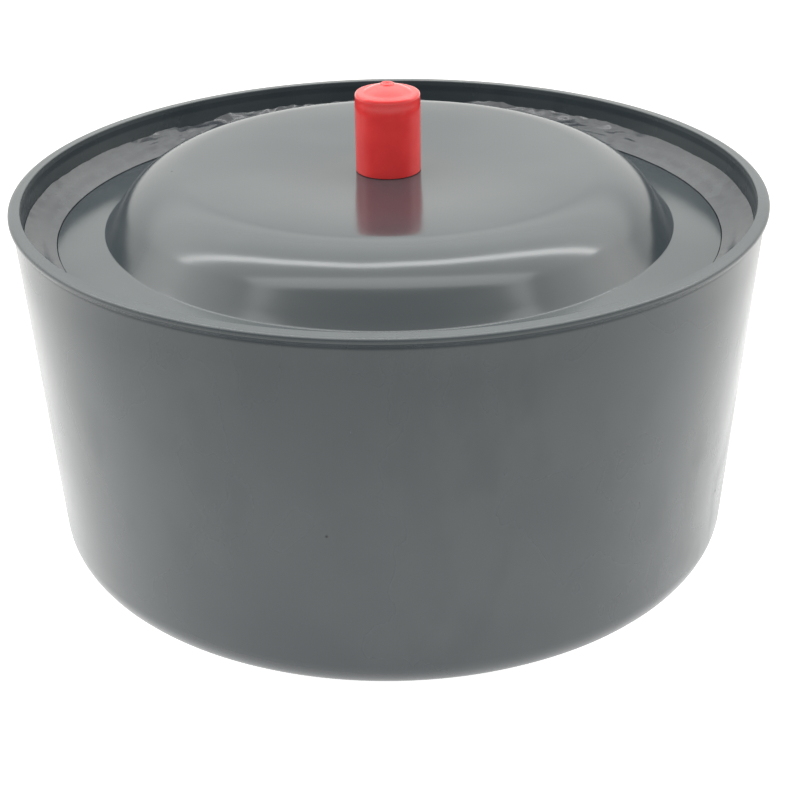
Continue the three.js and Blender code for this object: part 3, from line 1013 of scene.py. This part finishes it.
def add_panel(name, angle, width, radiance, length, along, turn=0):
    """Long soft panel overhead, at an angle in the YZ plane up from the front horizon."""
    a = math.radians(angle)
    data = bpy.data.lights.new(name, "AREA")
    data.shape = "RECTANGLE"
    data.size = length
    data.size_y = width
    data.energy = radiance * math.pi * length * width
    panel = bpy.data.objects.new(name, data)
    towards = Vector((0, -math.cos(a), math.sin(a)))
    panel.location = Vector((along, 0, high("barrel_shell").z * MM)) + towards * PANEL_DISTANCE
    side = Vector((1, 0, 0))
    facing = Matrix((side, towards.cross(side), towards)).transposed()
    panel.rotation_euler = (facing @ Matrix.Rotation(math.radians(turn), 3, "Z")).to_euler()
    bpy.context.scene.collection.objects.link(panel)


# Degrees up from the front horizon and over to the back one, and how bright it is there
WORLD_STOPS = [
    (0, 0.75), (42, 0.75), (56, 1.5), (80, 3.0), (100, 3.6),
    (124, 3.6), (142, 2.8), (157, 1.45), (180, 1.2),
]
WORLD_TINT = (1.0, 1.0, 0.96)


def add_world():
    """Studio surroundings: pale all round, brightest overhead and dimmer behind the camera."""
    world = bpy.data.worlds.new("studio")
    bpy.context.scene.world = world
    world.use_nodes = True
    tree = world.node_tree
    place = tree.nodes.new("ShaderNodeTexCoord").outputs["Generated"]
    split = tree.nodes.new("ShaderNodeSeparateXYZ")
    tree.links.new(place, split.inputs[0])
    towards_front = combined(tree, "MULTIPLY", split.outputs["Y"], -1)
    angle = combined(tree, "ARCTAN2", split.outputs["Z"], towards_front)
    share = combined(tree, "DIVIDE", angle, math.pi)
    ramp = tree.nodes.new("ShaderNodeValToRGB")
    ramp.color_ramp.interpolation = "EASE"
    stops = ramp.color_ramp.elements
    brightest = max(level for _, level in WORLD_STOPS)
    while len(stops) < len(WORLD_STOPS):
        stops.new(0.5)
    for stop, (degrees, level) in zip(stops, WORLD_STOPS):
        stop.position = degrees / 180
        stop.color = tuple(level / brightest * tint for tint in WORLD_TINT) + (1,)
    tree.links.new(share, ramp.inputs[0])
    background = tree.nodes["Background"]
    background.inputs["Strength"].default_value = brightest
    tree.links.new(ramp.outputs["Color"], background.inputs["Color"])


add_camera()
make_shell()
make_liner()
make_seat_ring()
make_sealant()
make_lid()
make_gasket()
make_knob()
make_insert()
make_washer("seal_washer", "stud_seal", ROD_HOLE, SEAL_RUBBER, "seal_rubber", 0.4)
make_washer("captive_washer", "knob_washer", ROD_HOLE, STEEL, "steel")
make_rod()
make_washer("rod_seal_washer", "rod_seal", ROD_HOLE, SEAL_RUBBER, "seal_rubber", 0.4)
make_washer("rod_plain_washer", "rod_washer", ROD_HOLE, STEEL, "steel")
make_nut("rod_hex_nut", "rod_nut", ROD_HOLE)
make_clamp_plate()
make_hub()
make_hub_screws()
make_set_screws()
add_floor()
add_panel("panel_back_left", 102, 0.19, 8.0, length=2.6, along=-1.42, turn=-12)
add_panel("panel_back_right", 102, 0.19, 8.0, length=2.6, along=1.12, turn=12)
add_panel("panel_front", 66, 0.40, 2.6, length=3.0, along=0)
add_panel("panel_front_left", 66, 0.40, 2.6, length=1.7, along=-0.65)
add_world()
bpy.context.scene.view_settings.view_transform = "Standard"
